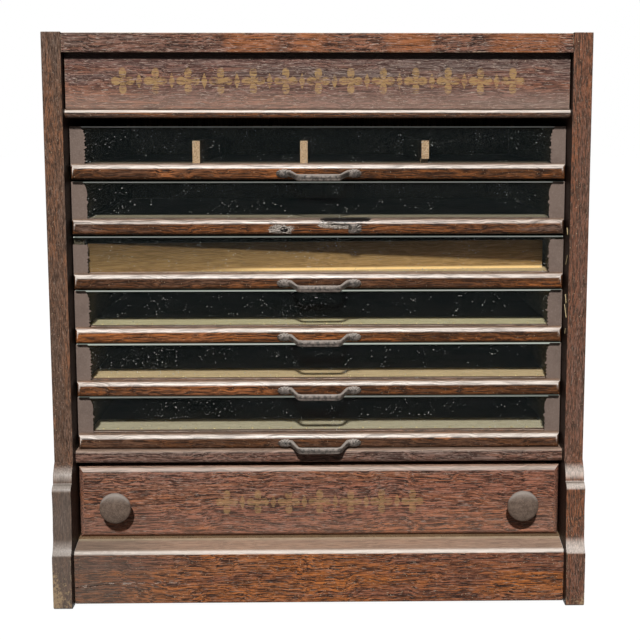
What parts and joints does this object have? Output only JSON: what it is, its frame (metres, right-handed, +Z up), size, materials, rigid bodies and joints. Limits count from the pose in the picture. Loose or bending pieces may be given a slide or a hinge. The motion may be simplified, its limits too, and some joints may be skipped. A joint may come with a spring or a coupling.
{
  "type": "spool cabinet",
  "caption": "Countertop thread cabinet with a stack of glass-fronted sliding trays, a sign board above and one deep wooden drawer below.",
  "frame": {"origin": "on the floor under the middle of the case, where the plane halfway between foot tips and back meets the middle plane", "axes": "+Z up, +Y to the back so that the trays open towards -Y, +X to the right of someone who faces the trays"},
  "size_m": [0.572, 0.432, 0.612],
  "materials": {
    "stained_wood": "dark red-brown stain, worn satin varnish",
    "tray_wood": "dull unvarnished hardwood, greyed",
    "back_wood": "rough unfinished softwood",
    "pane_glass": "old clear glass, dusty",
    "tin_plate": "lacquered tinplate, tarnished",
    "cast_iron": "cast, worn brown patina",
    "knob_wood": "turned hardwood, greyed",
    "steel_screw": "dull steel"
  },
  "bodies": {
    "case": {"side_panel_left": "stained_wood", "side_panel_right": "stained_wood", "top_board": "stained_wood", "sign_board": "stained_wood", "sign_moulding": "stained_wood", "drawer_rail": "stained_wood", "base_board": "stained_wood", "case_floor": "back_wood", "back_boards": "back_wood", "runners": "tray_wood"},
    "tray_1": {"tray_1_nosing": "stained_wood", "tray_1_glass": "pane_glass", "tray_1_corner_plates": "tin_plate", "tray_1_sides": "tray_wood", "tray_1_back": "tray_wood", "tray_1_floor": "tray_wood", "tray_1_pull": "cast_iron", "tray_1_dividers": "tray_wood"},
    "tray_2": {"tray_2_nosing": "stained_wood", "tray_2_glass": "pane_glass", "tray_2_corner_plates": "tin_plate", "tray_2_sides": "tray_wood", "tray_2_back": "tray_wood", "tray_2_floor": "tray_wood", "tray_2_pull": "cast_iron"},
    "tray_3": {"tray_3_nosing": "stained_wood", "tray_3_glass": "pane_glass", "tray_3_corner_plates": "tin_plate", "tray_3_sides": "tray_wood", "tray_3_back": "tray_wood", "tray_3_floor": "tray_wood", "tray_3_pull": "cast_iron", "tray_3_loose_board": "tray_wood"},
    "tray_4": {"tray_4_nosing": "stained_wood", "tray_4_glass": "pane_glass", "tray_4_corner_plates": "tin_plate", "tray_4_sides": "tray_wood", "tray_4_back": "tray_wood", "tray_4_floor": "tray_wood", "tray_4_pull": "cast_iron"},
    "tray_5": {"tray_5_nosing": "stained_wood", "tray_5_glass": "pane_glass", "tray_5_corner_plates": "tin_plate", "tray_5_sides": "tray_wood", "tray_5_back": "tray_wood", "tray_5_floor": "tray_wood", "tray_5_pull": "cast_iron"},
    "tray_6": {"tray_6_nosing": "stained_wood", "tray_6_glass": "pane_glass", "tray_6_corner_plates": "tin_plate", "tray_6_sides": "tray_wood", "tray_6_back": "tray_wood", "tray_6_floor": "tray_wood", "tray_6_pull": "cast_iron"},
    "lower_drawer": {"lower_drawer_front": "stained_wood", "lower_drawer_sides": "tray_wood", "lower_drawer_bottom": "tray_wood", "lower_drawer_back": "tray_wood", "lower_drawer_knobs": "knob_wood", "knob_screws": "steel_screw"}
  },
  "joints": [
    {"name": "tray_1_slide", "type": "slide", "parent": "case", "child": "tray_1", "axis": [0, -1, 0], "range_m": [0, 0.3]},
    {"name": "tray_2_slide", "type": "slide", "parent": "case", "child": "tray_2", "axis": [0, -1, 0], "range_m": [0, 0.3]},
    {"name": "tray_3_slide", "type": "slide", "parent": "case", "child": "tray_3", "axis": [0, -1, 0], "range_m": [0, 0.3]},
    {"name": "tray_4_slide", "type": "slide", "parent": "case", "child": "tray_4", "axis": [0, -1, 0], "range_m": [0, 0.3]},
    {"name": "tray_5_slide", "type": "slide", "parent": "case", "child": "tray_5", "axis": [0, -1, 0], "range_m": [0, 0.3]},
    {"name": "tray_6_slide", "type": "slide", "parent": "case", "child": "tray_6", "axis": [0, -1, 0], "range_m": [0, 0.3]},
    {"name": "lower_drawer_slide", "type": "slide", "parent": "case", "child": "lower_drawer", "axis": [0, -1, 0], "range_m": [0, 0.3]}
  ]
}
